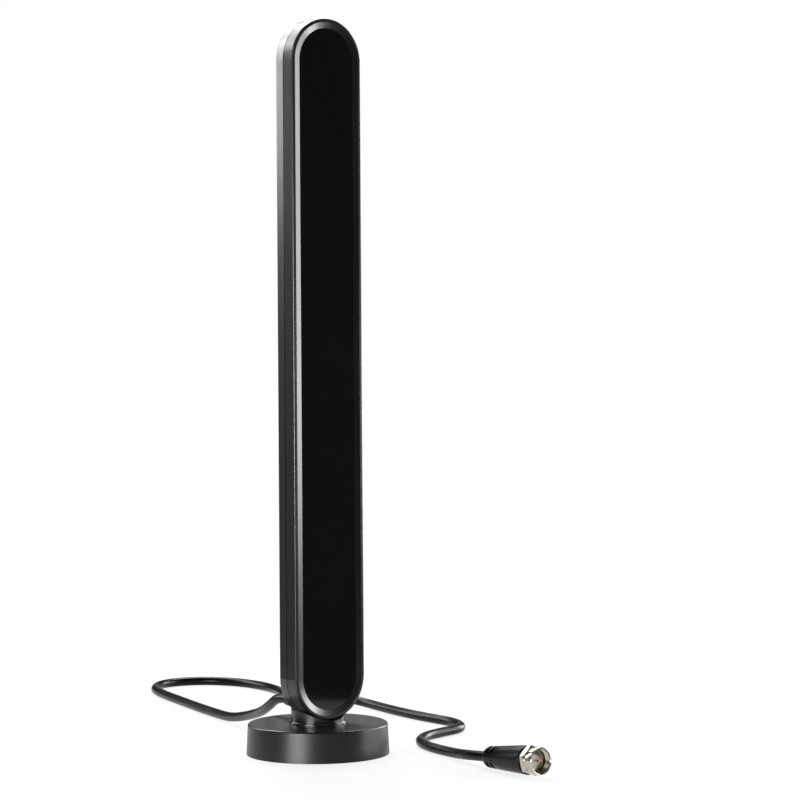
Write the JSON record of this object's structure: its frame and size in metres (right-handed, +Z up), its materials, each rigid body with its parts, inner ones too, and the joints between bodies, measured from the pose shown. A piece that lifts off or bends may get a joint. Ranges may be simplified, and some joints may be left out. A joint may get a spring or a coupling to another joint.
{
  "type": "indoor radio antenna",
  "caption": "Slim upright indoor radio antenna on a weighted round base, with a coaxial lead that ends in a screw-on F plug.",
  "frame": {"origin": "on the surface the base stands on, at the middle of the round base", "axes": "+Z up along the tower, the panel faces -Y, +X to the right of someone who looks at the panel"},
  "size_m": [0.1829, 0.3304, 0.31],
  "materials": {
    "casing": "satin black moulded ABS",
    "panel": "gloss black inlay",
    "cable_jacket": "satin black PVC jacket",
    "boot_rubber": "matt black moulded PVC",
    "nickel": "nickel-plated turned brass",
    "copper": "bare copper",
    "insulator": "milky polyethylene",
    "tie_nylon": "black nylon",
    "clamp_nylon": "natural nylon",
    "laminate": "green solder mask on glass-fibre laminate",
    "ferrite": "dark grey sintered ferrite",
    "screw_steel": "zinc-plated steel",
    "ballast_steel": "plain punched steel",
    "foot_rubber": "black foam rubber"
  },
  "bodies": {
    "antenna": {"front_shell": "casing", "front_panel": "panel", "rear_shell": "casing", "circuit_board": "laminate", "board_screws": "screw_steel", "radiator": "copper", "transformer_core": "ferrite", "transformer_winding": "copper", "cable_clamp": "clamp_nylon", "clamp_screws": "screw_steel", "neck": "casing", "tower_screws": "screw_steel", "neck_screws": "screw_steel", "base_cover": "casing", "ballast_weight": "ballast_steel", "base_plate": "casing", "base_screws": "screw_steel", "foot_pad": "foot_rubber", "cable_sleeve": "boot_rubber", "cable_tail": "cable_jacket", "cable_near": "cable_jacket", "cable_far": "cable_jacket", "cable_hank": "cable_jacket", "cable_ties": "tie_nylon", "plug_boot": "boot_rubber", "plug_body": "nickel", "plug_insulator": "insulator", "plug_pin": "copper"},
    "nut": {"coupling_nut": "nickel"}
  },
  "joints": [
    {"name": "nut_spin", "type": "hinge", "parent": "antenna", "child": "nut", "pos_m": [0.03, -0.10624, 0.00656], "axis": [0, -0.9978, 0.0657], "continuous": true}
  ]
}
